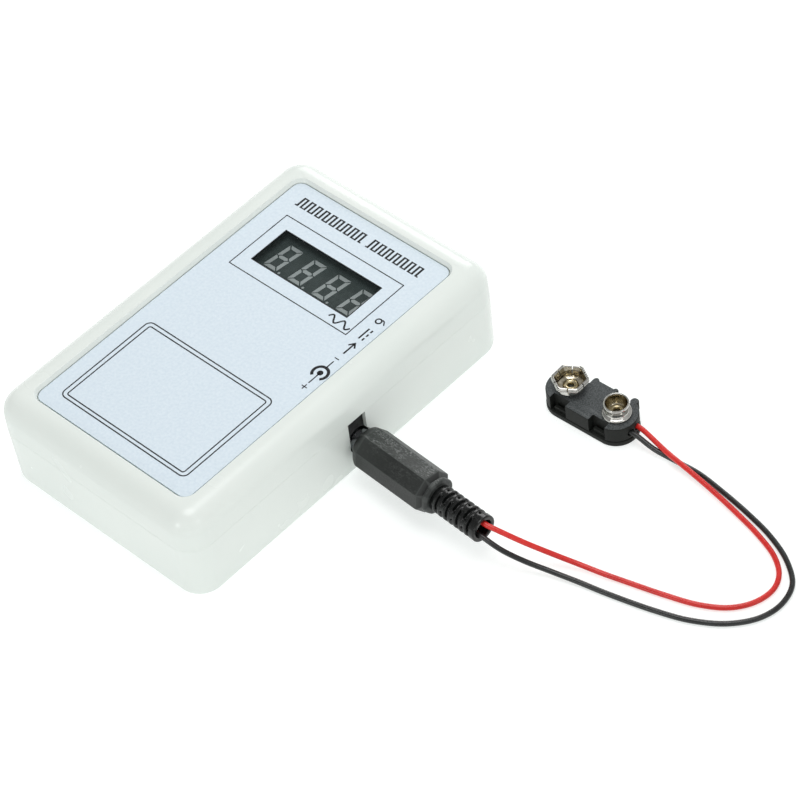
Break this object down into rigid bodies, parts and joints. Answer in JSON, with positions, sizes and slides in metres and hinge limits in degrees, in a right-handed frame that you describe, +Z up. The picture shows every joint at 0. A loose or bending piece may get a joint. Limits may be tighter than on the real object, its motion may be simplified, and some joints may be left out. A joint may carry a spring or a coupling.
{
  "type": "frequency counter",
  "caption": "Hand-held radio frequency counter: flat rounded case with a recessed front label, a digit display, a side supply socket and a plug-in battery snap lead.",
  "frame": {"origin": "centre of the case's underside, on the surface it stands on", "axes": "+X to the supply socket, +Y towards the display end, +Z up out of the front label"},
  "size_m": [0.1552, 0.0967, 0.0242],
  "materials": {
    "ivory_plastic": "fine satin moulding",
    "label_film": "printed polyester film",
    "smoked_window": "smoked clear acrylic",
    "display_black": "painted display face",
    "epoxy": "cast potting",
    "board_green": "solder resist on glass fibre",
    "chip_black": "moulded epoxy",
    "tin": "tinned",
    "brass": "bright",
    "steel": "zinc plated",
    "resistor_tan": "lacquered",
    "copper": "enamelled copper",
    "socket_black": "moulded",
    "plug_matte": "worn matte moulding",
    "relief_gloss": "glossy flexible moulding",
    "wire_red": "soft insulation",
    "wire_black": "soft insulation",
    "snap_black": "hard moulding",
    "nickel": "bright nickel plate"
  },
  "bodies": {
    "case": {"top_shell": "ivory_plastic", "bottom_shell": "ivory_plastic", "front_label": "label_film", "display_filter": "smoked_window", "display_housing": "display_black", "display_pin_plate": "epoxy", "main_board": "board_green", "microcontroller": "chip_black", "prescaler_chip": "chip_black", "amplifier_chip": "chip_black", "timing_crystal": "tin", "voltage_regulator": "chip_black", "input_capacitor": "chip_black", "output_capacitor": "chip_black", "segment_resistor_1": "resistor_tan", "segment_resistor_2": "resistor_tan", "segment_resistor_3": "resistor_tan", "segment_resistor_4": "resistor_tan", "pickup_loop": "copper", "board_screw_1": "steel", "board_screw_2": "steel", "board_screw_3": "steel", "board_screw_4": "steel", "case_screw_1": "steel", "case_screw_2": "steel", "case_screw_3": "steel", "case_screw_4": "steel", "supply_socket_housing": "socket_black", "supply_socket_pin": "tin", "supply_socket_spring": "brass"},
    "lead": {"red_wire": "wire_red", "black_wire": "wire_black", "snap_base": "snap_black", "snap_cover": "snap_black", "snap_socket_contact": "nickel", "snap_stud_contact": "nickel", "snap_socket_rivet": "brass", "snap_stud_rivet": "brass"},
    "plug": {"plug_body": "plug_matte", "plug_strain_relief": "relief_gloss", "plug_barrel": "tin", "plug_insulator": "chip_black", "plug_inner_contact": "brass"}
  },
  "joints": [
    {"name": "plug_slide", "type": "slide", "parent": "case", "child": "lead", "axis": [0.9987, -0.0506, 0], "range_m": [0, 0.0095]},
    {"name": "plug_swivel", "type": "hinge", "parent": "lead", "child": "plug", "pos_m": [0.0312, 0.00184, 0.00776], "axis": [0.9987, -0.0506, 0], "range_deg": [-90, 90]}
  ]
}
